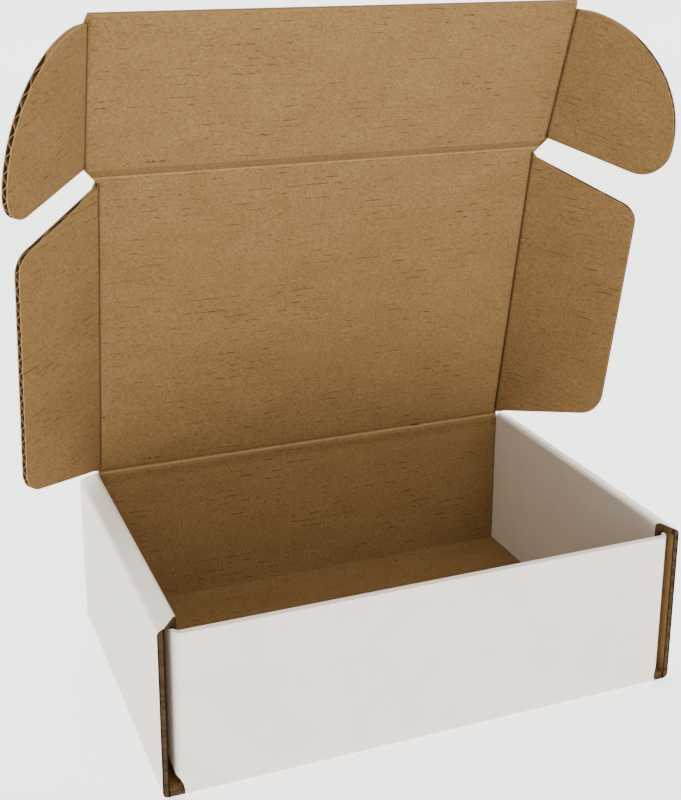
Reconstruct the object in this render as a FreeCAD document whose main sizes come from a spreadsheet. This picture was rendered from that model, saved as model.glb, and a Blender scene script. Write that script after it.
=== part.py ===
import FreeCAD, Part
import math
import operator
import os

import Sketcher
from FreeCAD import Placement, Rotation, Vector

# A roll-end mailer box, folded from one sheet of corrugated board and standing open.
# Millimetres, +Z up, front towards -Y. The origin is the middle of the underside.
# Left and right are those of someone who looks at the front.

SIZES = {
    # outside of the folded tray
    "box_length": 229.0,  # along X, over the outer side walls
    "box_width": 147.0,  # along Y, over the front and back walls
    "side_height": 74.0,  # to the top of the rolled side walls
    "front_height": 69.8,  # lower, so that the closed lid lies on its edge
    # the board, and where rolling has crushed it
    "board": 2.7,
    "crushed_panel": 1.9,  # inner side panels
    "crushed_flap": 1.1,  # corner flaps inside the rolled walls
    # outside radii of the folds
    "bend": 2.2,
    "roll_bend": 2.5,
    "inner_roll_bend": 1.5,
    "front_fold": 4.5,  # between the front wall and its corner flaps
    # flutes of the board, which run along X in the flat sheet
    "flute_pitch": 6.5,
    "liner": 0.36,
    "medium": 0.36,
    "flute_crest": 0.6,  # half the flat at the narrow side of a hollow
    "flute_glue": 0.8,  # half the glue line between two wide sides
    "crushed_margin": 3.3,  # from a crease to where the flutes stand open
    # room between the layers
    "ear_clearance": 0.1,  # each side of an ear in its slot
    "layer_gap": 0.1,
    "tab_gap": 0.25,
    "wing_clearance": 0.2,  # between a folded wing and the inner side panel
    "tuck_clearance": 0.3,  # between the closed tuck flap and the front wall
    "lid_seat": 0.4,  # between the closed lid and the front wall's edge
    "crease_gap": 0.2,  # between two panels at a crease
    # rolled side walls
    "roll_drop": 4.6,  # from the top of a roll down to where its outer wall bends
    "side_setback": 1.7,  # from the front and back faces to the ends of the outer walls
    "inner_setback": 6.6,  # from the front face to the inner side panel
    "tab_width": 24.0,
    "tab_spacing": 66.0,
    "tab_foot": 0.4,  # from the ground to the lock tabs
    # corner flaps
    "flap_length": 54.0,
    "flap_foot": 8.5,
    "fold_foot_round": 7.0,
    "flap_taper": 5.0,
    "flap_round": 8.0,
    # tuck flap and its ears
    "tuck_height": 72.0,
    "tuck_corner": 3.8,  # height of the oblique corners at its free edge
    "tuck_corner_width": 1.4,
    "ear_start": 4.2,  # from the tuck crease to the straight edge of an ear
    "ear_reach": 60.7,
    "ear_top": 69.0,  # from the tuck crease to the crown of an ear
    "ear_crown": 7.5,  # from the ear's crease to that crown
    "ear_heel": 15.0,
    "ear_shoulder": 1.2,
    # wings of the lid
    "wing_reach": 55.3,
    "wing_root": 3.1,  # from the lid's hinge to the foot of a wing
    "wing_foot": 22.2,  # from the hinge to the wing's lower outer corner
    "wing_tip": 3.0,  # from the tuck crease to the top of a wing
    "wing_horn": 2.9,  # width of the small horn there
    "wing_horn_foot": 5.9,  # from the tuck crease to the foot of that horn
    "wing_shoulder": 19.2,  # from the tuck crease to the wing's upper outer corner
    "wing_foot_round": 13.0,
    "wing_shoulder_round": 9.0,
    # how far each crease stands open, in degrees
    "lid_open": 79.4,
    "tuck_fold": 8.5,
    "left_wing_fold": 43.0,
    "right_wing_fold": 53.5,
    "left_ear_fold": 49.5,
    "right_ear_fold": 58.0,
}

SWELL = 1.0  # how far a cutting outline runs past what it cuts
ROOF_SLOPE = math.radians(23.6)  # of the top of a rolled side wall, down to the outside

OPERATIONS = {
    "+": operator.add,
    "-": operator.sub,
    "*": operator.mul,
    "/": operator.truediv,
}


class Size:
    """A number, with the sheet expression that gives it."""

    def __init__(self, value, text=None):
        self.value = value
        self.text = text or repr(value)

    def joined(self, sign, other):
        other = other if isinstance(other, Size) else Size(other)
        value = OPERATIONS[sign](self.value, other.value)
        return Size(value, f"({self.text} {sign} {other.text})")

    def __add__(self, other):
        return self.joined("+", other)

    def __sub__(self, other):
        return self.joined("-", other)

    def __mul__(self, other):
        return self.joined("*", other)

    def __truediv__(self, other):
        return self.joined("/", other)


doc = FreeCAD.newDocument("mailer_box")
sheet = doc.addObject("Spreadsheet::Sheet", "Sizes")
for row, (alias, number) in enumerate(SIZES.items(), start=1):
    sheet.set(f"A{row}", alias)
    sheet.set(f"B{row}", str(number))
    sheet.setAlias(f"B{row}", alias)
doc.recompute()


def size(alias):
    return Size(float(sheet.get(alias)), f"Sizes.{alias}")


ZERO = Size(0.0)
length = size("box_length")
width = size("box_width")
board = size("board")
bend = size("bend")
layer_gap = size("layer_gap")
corner_bend = board + layer_gap / 2
crease_gap = size("crease_gap")
side_height = size("side_height")
front_height = size("front_height")

# layers of a rolled side wall, from the outside in
ear_slot = board + size("ear_clearance") * 2
flap_face = length / 2 - board - ear_slot
panel_back = flap_face - size("crushed_flap") - layer_gap
panel_face = panel_back - size("crushed_panel")

# creases of the lid, which lies on the front wall between the rolled walls
hinge_height = front_height + size("lid_seat") + board
lid_length = width + size("tuck_clearance") + board
lid_half = panel_face - size("wing_clearance")
tuck_half = length / 2 - board - size("ear_clearance")


def origin_plane(body, role):
    return [f for f in body.Origin.OriginFeatures if f.Role == role][0]


def draw(body, name, role, outlines, turn=1, offset=None):
    """A sketch of closed outlines on one of the body's own planes.

    A corner is (x, y), or (x, y, radius) where a round stretch leads to the next corner.
    turn is 1 for outlines that run anticlockwise and -1 for mirrored ones."""
    sketch = body.newObject("Sketcher::SketchObject", name)
    sketch.AttachmentSupport = [(origin_plane(body, role), "")]
    sketch.MapMode = "FlatFace"
    if offset is not None:
        sketch.AttachmentOffset = Placement(Vector(0, 0, offset.value), Rotation())
        sketch.setExpression("AttachmentOffset.Base.z", offset.text)
    for corners in outlines:
        add_outline(sketch, corners, turn)
    return sketch


def add_outline(sketch, corners, turn):
    first = sketch.GeometryCount
    points = [Vector(c[0].value, c[1].value, 0) for c in corners]
    ends = []
    for i, corner in enumerate(corners):
        start, stop = points[i], points[(i + 1) % len(points)]
        if len(corner) == 2:
            sketch.addGeometry(Part.LineSegment(start, stop))
            ends.append((1, 2))
        else:
            sketch.addGeometry(round_stretch(start, stop, corner[2].value, turn))
            ends.append((1, 2) if turn > 0 else (2, 1))
    for i, corner in enumerate(corners):
        after = (i + 1) % len(corners)
        here, there = first + i, first + after
        sketch.addConstraint(
            Sketcher.Constraint("Coincident", here, ends[i][1], there, ends[after][0])
        )
        bind(sketch, "DistanceX", here, ends[i][0], corner[0])
        bind(sketch, "DistanceY", here, ends[i][0], corner[1])
        if len(corner) == 3:
            number = sketch.addConstraint(
                Sketcher.Constraint("Radius", here, corner[2].value)
            )
            name_and_bind(sketch, number, f"radius{here}", corner[2])


def round_stretch(start, stop, radius, turn):
    chord = stop - start
    rise = math.sqrt(max(radius**2 - (chord.Length / 2) ** 2, 0.0))
    side = Vector(-chord.y, chord.x, 0) * (turn * rise / chord.Length)
    centre = (start + stop) * 0.5 + side
    low, high = (start, stop) if turn > 0 else (stop, start)
    angles = [math.atan2(p.y - centre.y, p.x - centre.x) for p in (low, high)]
    circle = Part.Circle(centre, Vector(0, 0, 1), radius)
    return Part.ArcOfCircle(circle, angles[0], angles[1])


def bind(sketch, kind, edge, end, amount):
    number = sketch.addConstraint(
        Sketcher.Constraint(kind, -1, 1, edge, end, amount.value)
    )
    name_and_bind(sketch, number, f"{kind}{edge}", amount)


def name_and_bind(sketch, number, name, amount):
    sketch.renameConstraint(number, name)
    if "Sizes" in amount.text:
        sketch.setExpression(f"Constraints.{name}", amount.text)


def pad(body, sketch, amount, middle=False, backward=False):
    feature = body.newObject("PartDesign::Pad", f"{sketch.Name}_pad")
    feature.Profile = sketch
    feature.SideType = "Symmetric" if middle else "One side"
    feature.Reversed = backward
    feature.Length = amount.value
    feature.setExpression("Length", amount.text)
    sketch.Visibility = False
    return feature


def cut(body, sketch, amount=None, backward=False):
    """Takes an outline out of the body, to a depth, or both ways through all of it."""
    doc.recompute()
    before = body.Shape.Volume
    feature = body.newObject("PartDesign::Pocket", f"{sketch.Name}_cut")
    feature.Profile = sketch
    feature.Reversed = backward
    if amount is None:
        feature.Type = "ThroughAll"
        feature.SideType = "Symmetric"
    else:
        feature.Length = amount.value
        feature.setExpression("Length", amount.text)
    doc.recompute()
    if body.Shape.Volume >= before:
        raise ValueError(f"{feature.Name} takes nothing away")
    return feature


def new_body(name):
    body = doc.addObject("PartDesign::Body", name)
    body.Label = name
    return body


def box_corners(x0, y0, x1, y1):
    return [(x0, y0), (x1, y0), (x1, y1), (x0, y1)]


def rolled_section():
    """Base and both rolled side walls, seen from the front, anticlockwise."""
    half = length / 2
    base_half = half - bend
    roll_bend = size("roll_bend")
    inner_bend = size("inner_roll_bend")
    panel_foot = board + layer_gap
    eaves = side_height - size("roll_drop")
    slope = ROOF_SLOPE
    right = [
        (base_half, ZERO, bend),
        (half, bend),
        (half, eaves, roll_bend),
        (half - roll_bend * (1 - math.sin(slope)), eaves + roll_bend * math.cos(slope)),
        (
            panel_face + inner_bend * (1 + math.sin(slope)),
            side_height - inner_bend * (1 - math.cos(slope)),
            inner_bend,
        ),
        (panel_face, side_height - inner_bend),
        (panel_face, panel_foot),
        (panel_back, panel_foot),
        (panel_back, side_height - board),
        (half - board, eaves),
        (half - board, board),
    ]
    return right + mirrored(right)


def mirrored(corners):
    """The same corners on the left, in the order that closes the outline."""
    result = []
    for i in range(len(corners) - 1, -1, -1):
        x, y = corners[i][0], corners[i][1]
        before = corners[i - 1] if i else ()
        tail = (before[2],) if len(before) == 3 else ()
        result.append((ZERO - x, y) + tail)
    return result


def end_wall_section(end, top, hinged):
    """Front or back wall with its fold to the base, seen from the right."""
    face = width / 2
    inside = face - board
    root = inside - SWELL
    crest = top - crease_gap / 2 if hinged else top
    inner_crest = crest - board if hinged else top
    corners = [
        (root, ZERO),
        (face - bend, ZERO, bend),
        (face, bend),
        (face, crest),
        (inside, inner_crest),
        (inside, board),
        (root, board),
    ]
    return [(c[0] * end, c[1]) + c[2:] for c in corners]


def fold_plan(side, end, radius):
    """Plan of the fold between an end wall and its corner flap, before it is rounded."""
    face = width / 2
    start = flap_face - corner_bend
    corners = [
        (start, face - board),
        (flap_face - size("crushed_flap"), face - radius),
        (flap_face, face - radius),
        (flap_face, face),
        (start, face),
    ]
    return [(x * side, y * end) for x, y in corners]


def fold_round(side, end, radius):
    """Plan of what rounding that fold takes away."""
    face = width / 2
    past = flap_face + layer_gap
    beyond = face + layer_gap
    corners = [
        (flap_face - radius, face),
        (flap_face - radius, beyond),
        (past, beyond),
        (past, face - radius),
        (flap_face, face - radius, radius),
    ]
    return [(c[0] * side, c[1] * end) + c[2:] for c in corners]


def fold_foot(side):
    """What the curved cut under a corner fold takes away, seen from the front."""
    start = flap_face - corner_bend
    stop = flap_face + layer_gap
    low = board + layer_gap / 2
    corners = [
        (start, low),
        (stop, low),
        (stop, size("flap_foot"), size("fold_foot_round")),
    ]
    return [(c[0] * side, c[1]) + c[2:] for c in corners]


def corner_flap(end, radius):
    """Side view of a corner flap, from its fold to its rounded free end."""
    near = width / 2 - radius
    far = width / 2 - size("flap_length")
    turn_at = far + size("flap_round")
    foot = size("flap_foot")
    taper = size("flap_taper")
    corners = [
        (near, foot),
        (near, front_height),
        (turn_at, front_height - taper, size("flap_round")),
        (far, front_height - taper - size("flap_round")),
        (far, foot + taper + size("flap_round"), size("flap_round")),
        (turn_at, foot + taper),
    ]
    return [(c[0] * end, c[1]) + c[2:] for c in corners]


def roll_end(side, end):
    """Plan of what is left out at one end of a roll, so that an end wall fits there."""
    start = width / 2 - size("side_setback")
    past = width / 2 + SWELL
    inner = panel_face - SWELL
    if end < 0:
        stop = width / 2 - size("inner_setback")
        outer = length / 2 - board
        corners = [(outer, past), (outer, start), (panel_face, stop), (inner, stop), (inner, past)]
    else:
        stop = width / 2 - board - layer_gap
        corners = box_corners(inner, stop, flap_face + layer_gap, past)
    return [(x * side, y * end) for x, y in corners]


def make_tray():
    body = new_body("tray")
    depth = width - size("side_setback") * 2
    section = draw(body, "rolled_section", "XZ_Plane", [rolled_section()])
    pad(body, section, depth, middle=True)
    above_base = board + layer_gap / 2
    fold_low = board + layer_gap
    for side in (-1, 1):
        for end in (-1, 1):
            place = f"{'left' if side < 0 else 'right'}_{'front' if end < 0 else 'back'}"
            ending = draw(
                body, f"{place}_roll_end", "XY_Plane", [roll_end(side, end)], offset=above_base
            )
            cut(body, ending, side_height, backward=True)
    wall_length = (flap_face - corner_bend) * 2
    for name, end, top in (("front", -1, front_height), ("back", 1, hinge_height)):
        outline = end_wall_section(end, top, hinged=end > 0)
        wall = draw(body, f"{name}_wall", "YZ_Plane", [outline], turn=end)
        pad(body, wall, wall_length, middle=True)
    for side in (-1, 1):
        hand = "left" if side < 0 else "right"
        for end in (-1, 1):
            place = f"{hand}_{'front' if end < 0 else 'back'}"
            radius = size("front_fold") if end < 0 else corner_bend
            plan = fold_plan(side, end, radius)
            fold = draw(body, f"{place}_fold", "XY_Plane", [plan], offset=fold_low)
            pad(body, fold, front_height - fold_low)
            outside = draw(
                body,
                f"{place}_fold_round",
                "XY_Plane",
                [fold_round(side, end, radius)],
                turn=side * end,
                offset=fold_low,
            )
            cut(body, outside, front_height - board, backward=True)
            foot = draw(
                body,
                f"{place}_fold_foot",
                "XZ_Plane",
                [fold_foot(side)],
                turn=side,
                offset=(width / 2 + layer_gap) * -end,
            )
            cut(body, foot, radius + layer_gap, backward=end > 0)
            inner = flap_face - size("crushed_flap")
            face = inner if side > 0 else ZERO - flap_face
            flap = draw(
                body, f"{place}_flap", "YZ_Plane", [corner_flap(end, radius)], turn=end, offset=face
            )
            pad(body, flap, size("crushed_flap"))
            lock(body, place, side, end)
    doc.recompute()
    return body


def lock(body, place, side, end):
    """A tab under the inner side panel, in its slot through the base."""
    middle = size("tab_spacing") / 2 * end
    half = size("tab_width") / 2
    gap = size("tab_gap")
    low = middle - half
    high = middle + half
    inner = (panel_face - gap) * side
    outer = (panel_back + gap) * side
    slot = draw(
        body, f"{place}_slot", "XY_Plane", [box_corners(inner, low - gap, outer, high + gap)]
    )
    cut(body, slot, board + layer_gap / 2, backward=True)
    tab = draw(
        body,
        f"{place}_tab",
        "XY_Plane",
        [box_corners(panel_face * side, low, panel_back * side, high)],
        offset=size("tab_foot"),
    )
    pad(body, tab, board + SWELL)


def beveled_strip(body, name, half, run):
    """A panel with both side creases beveled to the middle of the fold, white face at z = 0."""
    edge = half - crease_gap / 2
    corners = [
        (ZERO - edge, ZERO),
        (edge, ZERO),
        (edge - board, board),
        (board - edge, board),
    ]
    section = draw(body, name, "XZ_Plane", [corners])
    pad(body, section, run, backward=True)


def crease_bevel(at, toward):
    """What a crease across the panel leaves out, seen along the crease."""
    edge = at + crease_gap / 2 * toward
    rise = board + SWELL
    past = at - board * toward
    return [
        (past, ZERO - SWELL),
        (edge, ZERO - SWELL),
        (edge, ZERO),
        (edge + rise * toward, rise),
        (past, rise),
    ]


def make_lid_panel():
    body = new_body("lid_panel")
    beveled_strip(body, "lid_section", lid_half, lid_length)
    ends = [crease_bevel(ZERO, 1), crease_bevel(lid_length, -1)]
    cut(body, draw(body, "lid_creases", "YZ_Plane", ends))
    return body


def make_tuck_flap():
    body = new_body("tuck_flap")
    tall = size("tuck_height")
    beveled_strip(body, "tuck_section", tuck_half, tall)
    cut(body, draw(body, "tuck_crease", "YZ_Plane", [crease_bevel(ZERO, 1)]))
    corners = []
    for side in (-1, 1):
        out = (tuck_half + SWELL) * side
        crease = tuck_half * side
        start = size("ear_start")
        corners.append([(out, ZERO), (lid_half * side, ZERO), (crease, start), (out, start)])
        top = tall - size("tuck_corner")
        narrow = (tuck_half - size("tuck_corner_width")) * side
        past = tall + SWELL
        corners.append([(out, top), (crease, top), (narrow, tall), (narrow, past), (out, past)])
    cut(body, draw(body, "tuck_corners", "XY_Plane", corners))
    return body


def side_flap(name, side, outline):
    """A flap that folds at x = 0 and reaches out to the left or to the right."""
    body = new_body(name)
    corners = [(c[0] * side, c[1]) + c[2:] for c in outline]
    pad(body, draw(body, f"{name}_outline", "XY_Plane", [corners], turn=side), board)
    cut(body, draw(body, f"{name}_crease", "XZ_Plane", [crease_bevel(ZERO, side)]))
    return body


def round_corner(body, x, y, radius):
    """Rounds the upright edge of a flap that stands at x, y."""
    doc.recompute()
    base = body.Tip
    number = [
        i
        for i, edge in enumerate(base.Shape.Edges, start=1)
        if all(math.hypot(v.X - x.value, v.Y - y.value) < 0.01 for v in edge.Vertexes)
    ][0]
    fillet = body.newObject("PartDesign::Fillet", f"{body.Label}_round")
    fillet.Base = (base, [f"Edge{number}"])
    fillet.Radius = radius.value
    fillet.setExpression("Radius", radius.text)


def flute_pair(start):
    """The hollows above and below the wavy medium, over one pitch, seen along the flutes."""
    pitch = size("flute_pitch")
    crest = size("flute_crest")
    wide = pitch / 2 - size("flute_glue")
    low = size("liner")
    high = board - low
    medium = size("medium")
    above = start + pitch / 2 + size("flute_glue")
    below = above + pitch / 2
    return [
        [
            (above - crest, low + medium),
            (above + crest, low + medium),
            (above + wide, high),
            (above - wide, high),
        ],
        [
            (below - wide, low),
            (below + wide, low),
            (below + crest, high - medium),
            (below - crest, high - medium),
        ],
    ]


def open_flutes(body, side, start, stop, reach):
    """The flutes of a flap, open at its cut edges and crushed shut near its crease."""
    pitch = size("flute_pitch")
    margin = size("crushed_margin")
    section = draw(
        body, f"{body.Label}_flutes", "YZ_Plane", flute_pair(start), offset=margin * side
    )
    hollow = cut(body, section, reach - margin + SWELL, backward=side > 0)
    rows = body.newObject("PartDesign::LinearPattern", f"{body.Label}_flute_rows")
    rows.Originals = [hollow]
    rows.Direction = (section, ["H_Axis"])
    rows.Mode = "Spacing"
    rows.Offset = pitch.value
    rows.setExpression("Offset", pitch.text)
    rows.Occurrences = int((stop - start).value / pitch.value - 0.5)
    body.Tip = rows


def make_wing(name, side):
    inner = crease_gap / 2
    reach = size("wing_reach")
    foot = size("wing_foot")
    shoulder = lid_length - size("wing_shoulder")
    outline = [
        (inner, size("wing_root")),
        (reach, foot),
        (reach, shoulder),
        (size("wing_horn"), lid_length - size("wing_horn_foot")),
        (inner, lid_length - size("wing_tip")),
    ]
    body = side_flap(name, side, outline)
    round_corner(body, reach * side, foot, size("wing_foot_round"))
    round_corner(body, reach * side, shoulder, size("wing_shoulder_round"))
    open_flutes(body, side, size("wing_root"), lid_length - size("wing_tip"), reach)
    return body


def make_ear(name, side):
    inner = crease_gap / 2
    start = size("ear_start")
    heel = size("ear_heel")
    reach = size("ear_reach")
    crown = size("ear_crown")
    top = size("ear_top")
    across = reach - crown
    rise = top - start - heel
    sweep = (across * across + rise * rise) / (across * 2)
    outline = [
        (inner, start),
        (reach - heel, start, heel),
        (reach, start + heel, sweep),
        (crown, top),
        (inner, top - size("ear_shoulder")),
    ]
    body = side_flap(name, side, outline)
    open_flutes(body, side, start, top, reach)
    return body


def turned(axis, degrees):
    return Placement(Vector(), Rotation(axis, degrees))


def moved(x, y, z):
    return Placement(Vector(x, y, z), Rotation())


def check(bodies):
    for item in doc.Objects:
        if "Invalid" in item.State or "Error" in item.State:
            raise ValueError(f"{item.Name} failed")
    for body in bodies:
        shape = body.Shape
        if shape.isNull() or not shape.isValid() or len(shape.Solids) != 1:
            raise ValueError(f"{body.Label} is not one sound solid")


tray = make_tray()
lid_panel = make_lid_panel()
tuck_flap = make_tuck_flap()
wings = {"left": make_wing("left_wing", -1), "right": make_wing("right_wing", 1)}
ears = {"left": make_ear("left_ear", -1), "right": make_ear("right_ear", 1)}
doc.recompute()

# The lid stands on the back wall's crease, the tuck flap on the lid's front crease.
ALONG_X = Vector(1, 0, 0)
ALONG_Y = Vector(0, 1, 0)
hinge = moved(0, width.value / 2, hinge_height.value)
lid_place = hinge.multiply(turned(ALONG_X, 180 - size("lid_open").value))
tuck_place = lid_place.multiply(moved(0, lid_length.value, 0)).multiply(
    turned(ALONG_X, size("tuck_fold").value)
)
lid_panel.Placement = lid_place
tuck_flap.Placement = tuck_place
for hand, side in (("left", -1), ("right", 1)):
    wing_turn = turned(ALONG_Y, -side * size(f"{hand}_wing_fold").value)
    wings[hand].Placement = lid_place.multiply(moved(side * lid_half.value, 0, 0)).multiply(
        wing_turn
    )
    ear_turn = turned(ALONG_Y, -side * size(f"{hand}_ear_fold").value)
    ears[hand].Placement = tuck_place.multiply(moved(side * tuck_half.value, 0, 0)).multiply(
        ear_turn
    )
doc.recompute()

parts = [tray, lid_panel, tuck_flap, *wings.values(), *ears.values()]
check(parts)
os.makedirs("parts", exist_ok=True)
for part in parts:
    part.Shape.exportStep(f"parts/{part.Label}.step")
    box = part.Shape.BoundBox
    print(part.Label, "volume", round(part.Shape.Volume), "mm3, size", [
        round(v, 1) for v in (box.XLength, box.YLength, box.ZLength)
    ])
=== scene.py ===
"""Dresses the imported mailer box: white-faced corrugated board, kraft inside, standing open."""

import math

import bmesh
import bpy
from mathutils import Matrix, Vector


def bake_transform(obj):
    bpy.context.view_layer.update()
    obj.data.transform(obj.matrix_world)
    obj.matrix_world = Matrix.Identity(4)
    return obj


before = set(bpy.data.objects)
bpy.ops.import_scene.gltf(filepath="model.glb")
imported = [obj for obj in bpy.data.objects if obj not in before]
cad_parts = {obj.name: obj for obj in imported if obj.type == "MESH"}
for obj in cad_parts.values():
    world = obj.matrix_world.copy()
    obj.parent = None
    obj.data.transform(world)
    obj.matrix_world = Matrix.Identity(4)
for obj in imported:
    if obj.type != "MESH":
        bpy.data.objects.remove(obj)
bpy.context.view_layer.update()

MM = 0.001

# Sizes of the box, in millimetres.
LENGTH = 229.0
WIDTH = 147.0
FRONT_HEIGHT = 69.8
BOARD = 2.7
BEND = 2.2
CORNER_BEND = 4.5
EAVES = 69.4
HINGE_HEIGHT = 72.9
LID_LENGTH = 150.0
LID_HALF = 105.6
TUCK_HALF = 111.7
FLAP_FACE = 108.9
PANEL_FACE = 105.8
CREASE_GAP = 0.2
NEAR = 0.05  # two places on the box this close are the same one
SIDE_SETBACK = 1.7
LINER = 0.36
WHITE_SIDE = -2.62  # just inside the white face, measured from the kraft one
FLUTE_PITCH = 6.5
# Where the liners of the side walls' ends lie across the box, and how far from there the
# dark lines of painted shadow beside them fade out.
WALL_LINERS = (LENGTH / 2 - 0.15, LENGTH / 2 - BOARD + 0.1)
HAIR_WIDTH = 0.55

# How far the creases stand folded in the stored pose, in degrees.
LID_OPEN = 79.4
TUCK_FOLD = 8.5
WING_FOLD = {"left": 43.0, "right": 53.5}
EAR_FOLD = {"left": 49.5, "right": 58.0}

SIDES = (("left", -1), ("right", 1))

# Colours of the sheet, as sRGB hex.
KRAFT = "#81643B"
KRAFT_LIGHT = "#8A6D43"
KRAFT_DEEP = "#684D2C"
KRAFT_PALE = "#A18357"
KRAFT_DARK = "#40290F"
WHITE = "#F0E8DD"
WHITE_SHADE = "#ECE4D8"
MEDIUM = "#8A6A45"
MEDIUM_DARK = "#6A4C2E"
HOLLOW = "#6E5234"
HOLLOW_DARK = "#4A3521"
# Torn edge: brown darkened partly as painted shade of the flute hollows; the near-black line is
# painted shadow.
TORN_BROWN = "#4B3B28"
TORN_DARK = "#33271A"
TORN_SHADOW_LINE = "#0D0805"
WHITE_EDGE = "#CFC6B6"
KRAFT_EDGE = "#9A7850"
# Score line: crushed kraft, darkened further as painted shade in the crease's groove.
SCORE_AND_SHADE = "#5E4325"
SCORE_AND_SHADE_DARK = "#4B341C"
# A painted highlight on a raised crease's crest.
RIDGE_HIGHLIGHT = "#886A42"
RIDGE_HIGHLIGHT_PALE = "#9A7B52"
SWEEP_PALE = "#F4F4F3"
SWEEP_SHADE = "#F1F1F0"


def turn(degrees, axis):
    """Rotation about an axis of the frame."""
    return Matrix.Rotation(math.radians(degrees), 4, axis)


def place_panels():
    """Each panel's own frame in millimetres: x along the flutes, y up the panel, z into the
    kraft side."""
    lid = Matrix.Translation((0, WIDTH / 2, HINGE_HEIGHT)) @ turn(180 - LID_OPEN, "X")
    tuck = lid @ Matrix.Translation((0, LID_LENGTH, 0)) @ turn(TUCK_FOLD, "X")
    places = {"tray": Matrix.Identity(4), "lid_panel": lid, "tuck_flap": tuck}
    for hand, side in SIDES:
        wing = Matrix.Translation((side * LID_HALF, 0, 0)) @ turn(-side * WING_FOLD[hand], "Y")
        ear = Matrix.Translation((side * TUCK_HALF, 0, 0)) @ turn(-side * EAR_FOLD[hand], "Y")
        places[f"{hand}_wing"] = lid @ wing
        places[f"{hand}_ear"] = tuck @ ear
    return places


PLACES = place_panels()


def linear(hex_colour):
    """sRGB hex to the linear colour that the shaders take."""
    values = [int(hex_colour[i : i + 2], 16) / 255 for i in (1, 3, 5)]
    return [v / 12.92 if v <= 0.04045 else ((v + 0.055) / 1.055) ** 2.4 for v in values] + [1.0]


def add(tree, kind, values=None, links=None, **settings):
    """Adds a node with its settings, the numbers on its sockets and the links into it."""
    made = tree.nodes.new(kind)
    for name, value in settings.items():
        setattr(made, name, value)
    for socket, value in (values or {}).items():
        made.inputs[socket].default_value = value
    for socket, source in (links or {}).items():
        tree.links.new(source, made.inputs[socket])
    return made


def new_material(name):
    """An empty material and its node tree."""
    material = bpy.data.materials.new(name)
    material.use_nodes = True
    tree = material.node_tree
    tree.nodes.clear()
    return material, tree


def panel_coordinates(tree, place, stretch):
    """The board's own millimetres, squeezed by stretch along x, y and z."""
    spot = add(tree, "ShaderNodeTexCoord")
    own = add(
        tree,
        "ShaderNodeMapping",
        values={"Location": place.to_translation() * MM, "Rotation": place.to_euler()},
        links={"Vector": spot.outputs["Object"]},
        vector_type="TEXTURE",
    )
    return add(
        tree,
        "ShaderNodeMapping",
        values={"Scale": [s / MM for s in stretch]},
        links={"Vector": own.outputs["Vector"]},
    ).outputs["Vector"]


def own_millimetres(tree, place):
    """x, y and z of the board's own frame, as three sockets of one node."""
    spot = panel_coordinates(tree, place, (1.0, 1.0, 1.0))
    return add(tree, "ShaderNodeSeparateXYZ", links={"Vector": spot}).outputs


def pattern(tree, place, stretch, detail=2.0, rough=0.5, lower=0.4, upper=0.6, low=0.0, high=1.0):
    """Noise in the board's millimetres, brought to low below the lower limit and to high above
    the upper."""
    noise = add(
        tree,
        "ShaderNodeTexNoise",
        values={"Scale": 1.0, "Detail": detail, "Roughness": rough},
        links={"Vector": panel_coordinates(tree, place, stretch)},
    )
    return add(
        tree,
        "ShaderNodeMapRange",
        values={"From Min": lower, "From Max": upper, "To Min": low, "To Max": high},
        links={"Value": noise.outputs["Fac"]},
    ).outputs["Result"]


def blend_colour(tree, amount, under, over):
    """Lays one colour over another by an amount from 0 to 1."""
    made = add(tree, "ShaderNodeMix", data_type="RGBA")
    for socket, value in ((0, amount), (6, under), (7, over)):
        if isinstance(value, bpy.types.NodeSocket):
            tree.links.new(value, made.inputs[socket])
        else:
            made.inputs[socket].default_value = value
    return made.outputs[2]


def finish_surface(tree, colour, roughness, height=None, rise=0.1, specular=0.35, glow=0.0):
    """The shader and the output, with bump where a height is given. rise is in millimetres."""
    surface = add(tree, "ShaderNodeBsdfPrincipled", values={"Roughness": roughness})
    surface.inputs["Emission Color"].default_value = (1.0, 1.0, 1.0, 1.0)
    surface.inputs["Emission Strength"].default_value = glow
    surface.inputs["Specular IOR Level"].default_value = specular
    tree.links.new(colour, surface.inputs["Base Color"])
    if height is not None:
        bump = add(
            tree,
            "ShaderNodeBump",
            values={"Strength": 1.0, "Distance": rise * MM},
            links={"Height": height},
        )
        tree.links.new(bump.outputs["Normal"], surface.inputs["Normal"])
    add(tree, "ShaderNodeOutputMaterial", links={"Surface": surface.outputs["BSDF"]})


def arithmetic(tree, operation, first, second=0.0, third=0.0):
    """One sum on numbers or links."""
    made = add(tree, "ShaderNodeMath", operation=operation)
    for socket, value in enumerate((first, second, third)):
        if isinstance(value, bpy.types.NodeSocket):
            tree.links.new(value, made.inputs[socket])
        else:
            made.inputs[socket].default_value = value
    return made.outputs[0]


def ramp(tree, value, start, stop, high=1.0):
    """0 at start, up or down to high at stop."""
    made = add(
        tree,
        "ShaderNodeMapRange",
        values={"From Min": start, "From Max": stop, "To Max": high},
        links={"Value": value},
    )
    return made.outputs["Result"]


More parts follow.
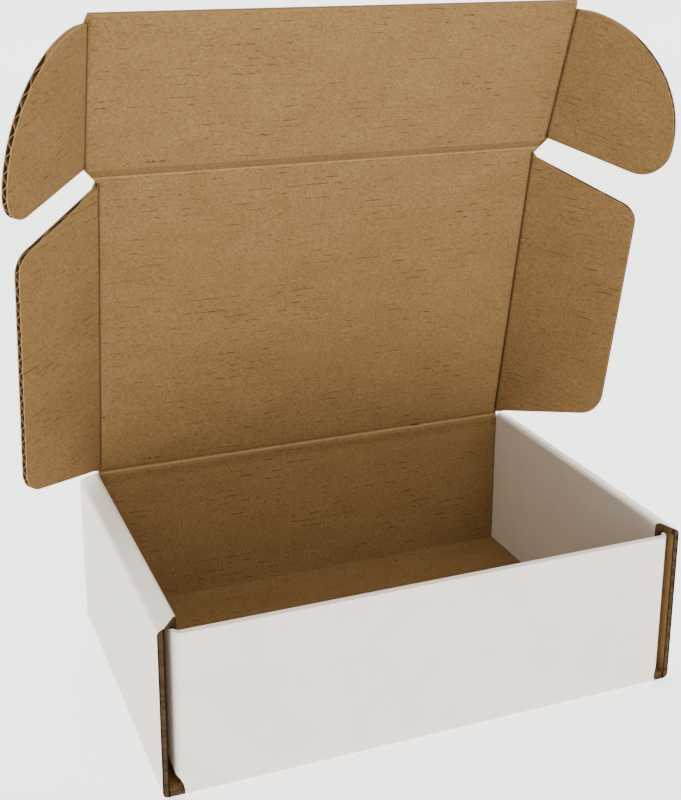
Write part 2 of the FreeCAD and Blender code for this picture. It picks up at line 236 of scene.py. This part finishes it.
def glue_lines(tree, place):
    """Broken hair lines along the flutes, one row over each flute tip, 3 to 9 mm long. Adding y
    and z carries the rows from the tray's base on up its front and back walls."""
    own = own_millimetres(tree, place)
    waver = pattern(tree, place, (0.06, 0.4, 0.4), lower=0.2, upper=0.8, low=-0.16, high=0.16)
    up_board = arithmetic(tree, "ADD", own["Y"], own["Z"])
    across = arithmetic(tree, "MULTIPLY_ADD", up_board, 2 / FLUTE_PITCH, waver)
    row = arithmetic(tree, "FLOOR", across)
    along_row = arithmetic(tree, "FRACT", across)
    from_tip = arithmetic(tree, "ABSOLUTE", arithmetic(tree, "SUBTRACT", along_row, 0.5))
    hair = ramp(tree, from_tip, 0.085, 0.03)
    spot = add(
        tree,
        "ShaderNodeCombineXYZ",
        links={
            "X": arithmetic(tree, "MULTIPLY", own["X"], 0.16),
            "Y": arithmetic(tree, "MULTIPLY", row, 7.31),
        },
    )
    breaks = add(
        tree,
        "ShaderNodeTexNoise",
        values={"Scale": 1.0, "Detail": 2.0, "Roughness": 0.6},
        links={"Vector": spot.outputs["Vector"]},
    )
    dash = ramp(tree, breaks.outputs["Fac"], 0.52, 0.6)
    patches = pattern(
        tree, place, (0.03, 0.045, 0.045), lower=0.4, upper=0.62, low=0.2, high=0.95
    )
    dashes = arithmetic(tree, "MULTIPLY", hair, dash)
    return arithmetic(tree, "MULTIPLY", dashes, patches)


def kraft_liner(name, place, painted_shade_span=None):
    """Unbleached kraft liner, calendered and glued over the flutes: warm brown with fine fibre
    grain, pale and dark flecks, and thin broken dark lines along the flutes where glue tips print.
    The span, if given, holds the two places up the panel between which painted shade darkens it
    towards a crease."""
    material, tree = new_material(f"kraft_liner_{name}")
    clouds = pattern(tree, place, (0.04, 0.09, 0.09), detail=4.0, lower=0.35, upper=0.65)
    colour = blend_colour(tree, clouds, linear(KRAFT), linear(KRAFT_LIGHT))
    grain = pattern(tree, place, (0.9, 1.3, 1.3), detail=4.0, rough=0.75, lower=0.3, upper=0.7)
    colour = blend_colour(tree, grain, linear(KRAFT_DEEP), colour)
    pale = pattern(tree, place, (1.0, 1.5, 1.5), detail=1.0, lower=0.62, upper=0.72, high=0.5)
    colour = blend_colour(tree, pale, colour, linear(KRAFT_PALE))
    dark = pattern(tree, place, (0.8, 1.7, 1.7), detail=1.0, lower=0.36, upper=0.28, high=0.45)
    colour = blend_colour(tree, dark, colour, linear(KRAFT_DARK))
    colour = blend_colour(tree, glue_lines(tree, place), colour, linear(KRAFT_DARK))
    if painted_shade_span:
        up = own_millimetres(tree, place)["Y"]
        # Painted shade: darker towards the crease's fold up the flap.
        painted_shade = ramp(tree, up, *painted_shade_span, high=0.3)
        colour = blend_colour(tree, painted_shade, colour, linear(KRAFT_DARK))
    finish_surface(tree, colour, 0.82, grain, rise=0.05, specular=0.2)
    return material


def white_liner(name, place):
    """Bleached, clay-coated top liner: a quiet off-white with a low sheen, faintly clouded, with
    a washboard of flutes under it that only low light finds."""
    material, tree = new_material(f"white_liner_{name}")
    clouds = pattern(tree, place, (0.06, 0.06, 0.06), detail=4.0, lower=0.35, upper=0.65)
    colour = blend_colour(tree, clouds, linear(WHITE), linear(WHITE_SHADE))
    height = pattern(tree, place, (0.02, 0.3, 0.3), detail=1.0, lower=0.3, upper=0.7)
    finish_surface(tree, colour, 0.5, height, rise=0.04, specular=0.4)
    return material


def cut_edge(name, place):
    """Die-cut edge of the board: a pale bleached liner and a brown kraft liner either side of
    the fibrous medium between them."""
    material, tree = new_material(f"cut_edge_{name}")
    depth = own_millimetres(tree, place)["Z"]
    fibres = pattern(tree, place, (0.8, 0.8, 2.5), detail=3.0, lower=0.3, upper=0.7)
    colour = blend_colour(tree, fibres, linear(MEDIUM), linear(MEDIUM_DARK))
    for inner, outward, shade in ((LINER, -1, WHITE_EDGE), (BOARD - LINER, 1, KRAFT_EDGE)):
        soft = outward * NEAR
        liner = ramp(tree, depth, inner - soft, inner + soft)
        colour = blend_colour(tree, liner, colour, linear(shade))
    finish_surface(tree, colour, 0.9, specular=0.15)
    return material


def flute_hollow(name, place):
    """Inside of a flute: unbleached medium, rough and dark brown."""
    material, tree = new_material(f"flute_medium_{name}")
    fibres = pattern(tree, place, (0.5, 1.2, 1.2), detail=2.0, lower=0.3, upper=0.7)
    colour = blend_colour(tree, fibres, linear(HOLLOW), linear(HOLLOW_DARK))
    finish_surface(tree, colour, 0.95, specular=0.1)
    return material


def torn_edge(name, place):
    """Edge cut along the flutes, and board crushed by rolling: brown fibres in streaks, their
    brown darkened partly as painted shade of the flute hollows. On the side walls' ends dark hair
    lines of painted shadow lie along the two liners either side of the flutes."""
    material, tree = new_material(f"torn_edge_{name}")
    streaks = pattern(tree, place, (0.25, 1.8, 0.6), detail=3.0, lower=0.35, upper=0.65)
    colour = blend_colour(tree, streaks, linear(TORN_BROWN), linear(TORN_DARK))
    if name == "tray":
        # Dark hair lines of painted shadow along the liners of the side walls' ends.
        across = arithmetic(tree, "ABSOLUTE", own_millimetres(tree, place)["X"])
        for line in WALL_LINERS:
            beside = arithmetic(tree, "ABSOLUTE", arithmetic(tree, "SUBTRACT", across, line))
            liner = ramp(tree, beside, HAIR_WIDTH, 0.3, high=0.95)
            colour = blend_colour(tree, liner, colour, linear(TORN_SHADOW_LINE))
    finish_surface(tree, colour, 0.95, streaks, rise=0.15, specular=0.05)
    return material


def score_line_and_shade(name, place):
    """Board crushed by the creasing rule: darker, polished kraft, darkened further as painted
    shade in the crease's groove.
    """
    material, tree = new_material(f"score_line_and_shade_{name}")
    uneven = pattern(tree, place, (0.2, 0.8, 0.8), detail=2.0, lower=0.35, upper=0.65)
    colour = blend_colour(tree, uneven, linear(SCORE_AND_SHADE), linear(SCORE_AND_SHADE_DARK))
    finish_surface(tree, colour, 0.7, specular=0.25)
    return material


def painted_highlight_ridge(name, place):
    """Crest of a raised crease, painted paler as a highlight where the light catches it."""
    material, tree = new_material(f"painted_highlight_ridge_{name}")
    flecks = pattern(tree, place, (0.5, 1.5, 1.5), detail=3.0, rough=0.7, lower=0.35, upper=0.65)
    colour = blend_colour(tree, flecks, linear(RIDGE_HIGHLIGHT), linear(RIDGE_HIGHLIGHT_PALE))
    finish_surface(tree, colour, 0.8, specular=0.2)
    return material


FINISHES = (white_liner, kraft_liner, cut_edge, torn_edge, score_line_and_shade, flute_hollow, painted_highlight_ridge)
WHITE_FACE, KRAFT_FACE, CUT, TORN, SCORED_AND_SHADED, HOLLOWED, PAINTED_HIGHLIGHT = range(len(FINISHES))


def finishes(name):
    """Every finish for one panel, in its own millimetres."""
    return [make(name, PLACES[name]) for make in FINISHES]


MATERIALS = {name: finishes(name) for name in PLACES}


# How much of a face's direction lies along an axis when the face is square to that axis, is
# level, or is tilted towards it at all.
SQUARE = 0.9
LEVEL = 0.99
TILTED = 0.05


def tray_finish(spot, facing):
    """Which finish a face of the tray shows: the sheet's white side is outside the walls and,
    because the side walls roll over, on the inner side panels too."""
    x, y, z = spot
    out_x = facing.x * math.copysign(1, x)
    out_y = facing.y * math.copysign(1, y)
    across = abs(x)
    along = abs(y)
    end = WIDTH / 2
    past_flap = across > FLAP_FACE + NEAR
    if facing.z < -0.5 and z < 0.2:
        return WHITE_FACE
    if end - SIDE_SETBACK - NEAR < along < end - 1.0 and out_y > SQUARE:
        return TORN
    outer_wall = across > LENGTH / 2 - BEND - 2 * NEAR and past_flap
    if outer_wall and (out_x > 0.3 or facing.z < -0.3):
        return WHITE_FACE if out_x > TILTED or z < BEND else KRAFT_FACE
    if z > EAVES and facing.z > 0.01:
        return WHITE_FACE
    if abs(across - PANEL_FACE) < NEAR and out_x < -SQUARE:
        return WHITE_FACE
    if abs(across - FLAP_FACE) < NEAR and out_x > SQUARE:
        return WHITE_FACE
    outside = out_y > TILTED or (z < BEND and facing.z < -TILTED)
    end_wall = along > end - BEND - NEAR and across < FLAP_FACE + NEAR
    if end_wall and outside and abs(facing.z) < LEVEL:
        return WHITE_FACE
    in_bend = FLAP_FACE - CORNER_BEND - 2 * NEAR < across and not past_flap
    if out_x > TILTED and out_y > TILTED and in_bend:
        return WHITE_FACE
    if facing.z > LEVEL and z < BOARD + 2 * NEAR:
        return KRAFT_FACE
    if out_y < -SQUARE and along > end - BOARD - 2 * NEAR:
        return KRAFT_FACE
    if out_x < -SQUARE or (facing.z < -0.8 and z > EAVES - 2 * NEAR):
        return KRAFT_FACE
    if out_x > SQUARE and not past_flap and across > PANEL_FACE + 1:
        return KRAFT_FACE
    # The top of the back wall at the lid's crease shows the crushed score, darkened further with
    # painted shade.
    if facing.z > 0.5 and z > FRONT_HEIGHT + 0.2 and y > 0:
        return SCORED_AND_SHADED
    return TORN


def panel_finish(spot, facing):
    """Which finish a face of a panel shows; spot and facing are in the panel's own frame."""
    if spot.z < NEAR:
        return WHITE_FACE
    if spot.z > BOARD - NEAR:
        return KRAFT_FACE
    if abs(facing.z) < TILTED or (abs(facing.x) > TILTED and facing.z < 0.5):
        return CUT
    in_flute = abs(facing.y) > 0.3 or facing.z < 0 or spot.z < 1.2
    return HOLLOWED if in_flute else KRAFT_FACE


def dress(name):
    """Gives each face of a CAD node the finish of the side of the sheet that it is."""
    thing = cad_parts[name]
    thing.data.materials.clear()
    for material in MATERIALS[name]:
        thing.data.materials.append(material)
    back = PLACES[name].inverted()
    for face in thing.data.polygons:
        spot = back @ (face.center / MM)
        facing = back.to_3x3() @ face.normal
        if name == "tray":
            face.material_index = tray_finish(spot, facing)
        else:
            face.material_index = panel_finish(spot, facing)


# What a stretch of a crease's profile shows, and the materials of a crease's skin in order.
PLAIN, DARK, PALE_HIGHLIGHT = range(3)
ON_PARENT, ON_CHILD, ON_SCORE_AND_SHADE, ON_EDGE, ON_WHITE, ON_HIGHLIGHT = range(6)


def crease_section(place, fold, side):
    """Puts a point of a crease where it belongs: reach from the fold line, on the parent's side
    if below 0, and how proud it stands of the kraft liner, both in millimetres."""
    half = math.radians(fold) / 2
    away = Vector((side, 0, 0)) if side else Vector((0, 1, 0))
    along = Vector((0, 1, 0)) if side else Vector((1, 0, 0))
    inward = Vector((0, 0, 1))
    child_away = away * math.cos(2 * half) + inward * math.sin(2 * half)
    child_inward = inward * math.cos(2 * half) - away * math.sin(2 * half)
    fold_line = inward * BOARD - away * (BOARD * math.tan(half))
    middle = (inward + child_inward).normalized()

    def put(spot, reach, proud):
        if reach < 0:
            point = fold_line + away * reach + inward * proud
        elif reach > 0:
            point = fold_line + child_away * reach + child_inward * proud
        else:
            point = fold_line + middle * proud
        return (place @ (point + along * spot)) * MM

    reach = BOARD + CREASE_GAP
    ends = (
        place @ (inward * BOARD - away * reach) * MM,
        place @ (child_inward * BOARD + child_away * reach) * MM,
    )
    return put, ends


def crease_skin(name, place, fold, side, run, parent, child, profile, child_liner=None):
    """The kraft liner across a crease, over the crushed board in its groove.

    place has its y along the crease and its z into the kraft side, and the child folds from
    the parent by fold degrees, about y on a side flap and about x where side is 0.
    profile gives, from the parent to the child, how far from the fold line in millimetres,
    how proud of the liner, and whether that stretch is plain, the dark score line with painted
    shade or a ridge with a painted highlight.
    run gives places along the crease, each with the least and the most reach there and
    whether the sheet ends in the open at that least reach."""
    put, ends = crease_section(place, fold, side)
    mesh = bmesh.new()
    rows = []
    floors = []
    for spot, least, most, _ in run:
        clipped = [(min(max(reach, least), most), proud) for reach, proud, _ in profile]
        rows.append([mesh.verts.new(put(spot, reach, proud)) for reach, proud in clipped])
        floors.append([mesh.verts.new(put(spot, reach, WHITE_SIDE)) for reach, _ in clipped])
    for i in range(len(rows) - 1):
        above, below = rows[i], rows[i + 1]
        for j in range(len(profile) - 1):
            face = mesh.faces.new((above[j], above[j + 1], below[j + 1], below[j]))
            face.smooth = True
            liner = ON_CHILD if profile[j + 1][0] > 0 else ON_PARENT
            look = profile[j][2]
            # Dark stretches take the crushed score darkened with painted shade; pale ones a
            # painted highlight.
            face.material_index = {PLAIN: liner, DARK: ON_SCORE_AND_SHADE, PALE_HIGHLIGHT: ON_HIGHLIGHT}[look]
            if run[i][3] and run[i + 1][3]:
                foot, next_foot = floors[i], floors[i + 1]
                under = mesh.faces.new((foot[j], next_foot[j], next_foot[j + 1], foot[j + 1]))
                under.material_index = ON_WHITE
                if j == 0:
                    cut = mesh.faces.new((above[0], below[0], next_foot[0], foot[0]))
                    cut.material_index = ON_EDGE
    for row, floor in ((rows[0], floors[0]), (rows[-1], floors[-1])):
        for j in range(len(profile) - 1):
            end = mesh.faces.new((row[j], row[j + 1], floor[j + 1], floor[j]))
            end.material_index = ON_EDGE
    bmesh.ops.remove_doubles(mesh, verts=mesh.verts, dist=1e-7)
    bmesh.ops.dissolve_degenerate(mesh, edges=mesh.edges, dist=1e-7)
    loose = [corner for corner in mesh.verts if not corner.link_faces]
    bmesh.ops.delete(mesh, geom=loose, context="VERTS")
    bmesh.ops.recalc_face_normals(mesh, faces=mesh.faces)
    data = bpy.data.meshes.new(name)
    mesh.to_mesh(data)
    mesh.free()
    data.materials.append(MATERIALS[parent][KRAFT_FACE])
    data.materials.append(child_liner or MATERIALS[child][KRAFT_FACE])
    for finish in (SCORED_AND_SHADED, CUT, WHITE_FACE, PAINTED_HIGHLIGHT):
        data.materials.append(MATERIALS[child][finish])
    skin = bpy.data.objects.new(name, data)
    bpy.context.scene.collection.objects.link(skin)
    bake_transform(skin)


def steps(start, stop, count):
    """Evenly spaced places from start to stop, both included."""
    return [start + (stop - start) * i / count for i in range(count + 1)]


FAR = 99.0


def plain_run(start, stop, count):
    """Along a crease whose skin isn't clipped on either side."""
    return [(spot, -FAR, FAR, False) for spot in steps(start, stop, count)]


# Where a wing's oblique ends meet its crease, up the lid, and how steeply they leave it.
WING_FOOT = 3.1
WING_TIP = LID_LENGTH - 3.0
FOOT_SLANT = 0.346
TIP_SLANT = 0.965


def wing_run():
    """Along a wing's crease, kept within the oblique ends of the wing."""
    run = []
    for spot in steps(3.2, 5.2, 5) + steps(8.0, 140.0, 22) + steps(143.0, 146.9, 6):
        most = min((spot - WING_FOOT) / FOOT_SLANT, (WING_TIP - spot) * TIP_SLANT) + 0.1
        run.append((spot, -FAR, most, False))
    return run


# The tuck crease's skin: where its plain middle ends, how far its open corners reach on to
# the lid and on to the tuck flap, and how steeply their edges run.
BEVEL_END = 102.8
LID_PART = 3.0
TUCK_PART = 4.2
CORNER_SLANT = 1.18


def tuck_run():
    """Along the tuck crease, out to the oblique corners between the ears and the wings."""
    edge = LID_HALF - 0.2
    middle = [(x, -FAR, FAR, False) for x in steps(-BEVEL_END, BEVEL_END, 40)]
    corner = [(BEVEL_END + 0.1, -LID_PART, FAR, True), (edge, -LID_PART, TUCK_PART, True)]
    for x in steps(edge + 0.1, TUCK_HALF - 0.3, 8):
        corner.append((x, (x - edge) * CORNER_SLANT - LID_PART, TUCK_PART, True))
    return [(-x, low, high, ends) for x, low, high, ends in reversed(corner)] + middle + corner


# A side crease is pressed to a thin dark line, crushed board darkened further with painted shade,
# with the liner rounding in on both sides.
SIDE_SCORE = (
    (-4.6, 0.05, PLAIN),
    (-1.6, 0.08, PLAIN),
    (-0.55, 0.02, PLAIN),
    (-0.3, -0.35, DARK),
    (0.0, -0.75, DARK),
    (0.3, -0.35, PLAIN),
    (0.55, 0.02, PLAIN),
    (1.6, 0.08, PLAIN),
    (4.6, 0.05, PLAIN),
)
# The tuck crease is a shallow dip under the flap, darkened there with painted shade, and a raised
# ridge on the lid with a painted highlight on its crest.
TUCK_SCORE = (
    (-5.0, 0.05, PLAIN),
    (-3.2, 0.12, PLAIN),
    (-1.9, 0.4, PLAIN),
    (-0.9, 0.5, PALE_HIGHLIGHT),
    (-0.4, 0.3, PLAIN),
    (0.4, -0.5, PLAIN),
    (1.3, -0.7, PLAIN),
    (2.6, -0.25, PLAIN),
    (4.0, 0.06, PLAIN),
    (5.2, 0.05, PLAIN),
)
TUCK_PAINTED_SHADE = (5.0, 0.8)  # painted shade darkens it towards the fold between these places up the flap
# The lid's own crease is a rounded ridge, with a painted highlight near its crest, that the lid's
# lower edge meets in a dark line of crushed score and painted shade.
LID_SCORE = (
    (-5.2, 0.05, PLAIN),
    (-3.6, 0.15, PLAIN),
    (-2.2, 0.6, PLAIN),
    (-0.9, 0.8, PLAIN),
    (0.2, 0.7, PLAIN),
    (0.7, 0.5, PALE_HIGHLIGHT),
    (1.4, 0.2, PLAIN),
    (2.0, -0.35, DARK),
    (2.5, -0.1, PLAIN),
    (3.4, 0.06, PLAIN),
    (5.0, 0.05, PLAIN),
)


def build_creases():
    """The skins over the six creases: the wings', the ears', the tuck flap's and the lid's."""
    lid = PLACES["lid_panel"]
    tuck = PLACES["tuck_flap"]
    for hand, side in SIDES:
        wing_line = lid @ Matrix.Translation((side * LID_HALF, 0, 0))
        crease_skin(
            f"{hand}_wing_score",
            wing_line,
            WING_FOLD[hand],
            side,
            wing_run(),
            "lid_panel",
            f"{hand}_wing",
            SIDE_SCORE,
        )
        ear_line = tuck @ Matrix.Translation((side * TUCK_HALF, 0, 0))
        crease_skin(
            f"{hand}_ear_score",
            ear_line,
            EAR_FOLD[hand],
            side,
            plain_run(4.3, 67.7, 12),
            "tuck_flap",
            f"{hand}_ear",
            SIDE_SCORE,
        )
    crease_skin(
        "tuck_score",
        lid @ Matrix.Translation((0, LID_LENGTH, 0)),
        TUCK_FOLD,
        0,
        tuck_run(),
        "lid_panel",
        "tuck_flap",
        TUCK_SCORE,
        kraft_liner("tuck_painted_shade", tuck, painted_shade_span=TUCK_PAINTED_SHADE),
    )
    back_wall = Matrix.Translation((0, WIDTH / 2, HINGE_HEIGHT)) @ turn(90, "X")
    crease_skin(
        "lid_score",
        back_wall,
        90 - LID_OPEN,
        0,
        plain_run(-LID_HALF + 0.2, LID_HALF - 0.2, 40),
        "tray",
        "lid_panel",
        LID_SCORE,
    )


SWEEP_GLOW = 1.6
TENT_COLOUR = (1, 0.965, 0.92, 1)
TENT_STRENGTH = 2.95
TENT_DIMMING = 3.0
KEY_SPOT = (0.3, -1.6, 1.1)
KEY_AIM = (0, 0, 0.12)
KEY_SIZE = 1.2
KEY_POWER = 4


def build_stage():
    """A pale paper sweep: floor that curves up far behind the box and glows a little, as one
    that is lit from below does."""
    front, turning, radius, top, half = 14.0, 3.0, 1.5, 5.0, 14.0
    profile = [(-front, 0.0), (turning, 0.0)]
    bends = 12
    for i in range(1, bends + 1):
        angle = math.pi / 2 * i / bends
        profile.append((turning + radius * math.sin(angle), radius - radius * math.cos(angle)))
    profile.append((turning + radius, top))
    mesh = bmesh.new()
    rows = [[mesh.verts.new((x, y, z)) for y, z in profile] for x in (-half, half)]
    for j in range(len(profile) - 1):
        face = mesh.faces.new((rows[0][j], rows[1][j], rows[1][j + 1], rows[0][j + 1]))
        face.smooth = True
    data = bpy.data.meshes.new("sweep")
    mesh.to_mesh(data)
    mesh.free()
    sweep = bpy.data.objects.new("sweep", data)
    bpy.context.scene.collection.objects.link(sweep)
    material, tree = new_material("matte_paper_sweep")
    spot = add(tree, "ShaderNodeTexCoord")
    soft = add(
        tree,
        "ShaderNodeTexNoise",
        values={"Scale": 3.0, "Detail": 2.0},
        links={"Vector": spot.outputs["Object"]},
    )
    colour = blend_colour(tree, soft.outputs["Fac"], linear(SWEEP_PALE), linear(SWEEP_SHADE))
    finish_surface(tree, colour, 0.9, specular=0.1, glow=SWEEP_GLOW)
    data.materials.append(material)


def build_lights():
    """A white tent whose sides are dimmer than its front, back and top, and one soft key."""
    world = bpy.data.worlds.new("studio")
    bpy.context.scene.world = world
    world.use_nodes = True
    tree = world.node_tree
    sky = tree.nodes["Background"]
    sky.inputs["Color"].default_value = TENT_COLOUR
    spot = add(tree, "ShaderNodeTexCoord")
    parts = add(tree, "ShaderNodeSeparateXYZ", links={"Vector": spot.outputs["Generated"]})
    sideways = arithmetic(tree, "ABSOLUTE", parts.outputs["X"])
    strength = arithmetic(tree, "MULTIPLY_ADD", sideways, -TENT_DIMMING, TENT_STRENGTH)
    tree.links.new(strength, sky.inputs["Strength"])
    light = bpy.data.lights.new("key", "AREA")
    light.size = KEY_SIZE
    light.energy = KEY_POWER
    lamp = bpy.data.objects.new("key", light)
    bpy.context.scene.collection.objects.link(lamp)
    lamp.location = KEY_SPOT
    aim = Vector(KEY_AIM) - Vector(KEY_SPOT)
    lamp.rotation_euler = aim.to_track_quat("-Z", "Y").to_euler()


# The camera stands where the photograph's fold lines and corners put it.
CAMERA_SPOT = (-0.2093, -0.4741, 0.3165)
CAMERA_TURN = (1.3009, 0.0229, -0.3782)
FOCAL_LENGTH = 1259.7
OPTICAL_CENTRE = (293.1, 284.2)
PICTURE = (681.0, 800.0)
SENSOR = 36.0


def build_camera():
    """The camera, with the photograph's lens and the shift that its cropping needs."""
    data = bpy.data.cameras.new("camera")
    data.sensor_fit = "VERTICAL"
    data.sensor_height = SENSOR
    data.sensor_width = SENSOR
    data.lens = FOCAL_LENGTH / PICTURE[1] * SENSOR
    data.shift_x = (PICTURE[0] / 2 - OPTICAL_CENTRE[0]) / PICTURE[1]
    data.shift_y = (OPTICAL_CENTRE[1] - PICTURE[1] / 2) / PICTURE[1]
    data.clip_start = 0.01
    camera = bpy.data.objects.new("camera", data)
    bpy.context.scene.collection.objects.link(camera)
    pitch, roll, heading = CAMERA_TURN
    spin = (
        Matrix.Rotation(heading, 4, "Z")
        @ Matrix.Rotation(pitch, 4, "X")
        @ Matrix.Rotation(roll, 4, "Y")
    )
    camera.matrix_world = Matrix.Translation(CAMERA_SPOT) @ spin
    bpy.context.scene.camera = camera


for node in PLACES:
    dress(node)
build_creases()
build_stage()
build_lights()
build_camera()
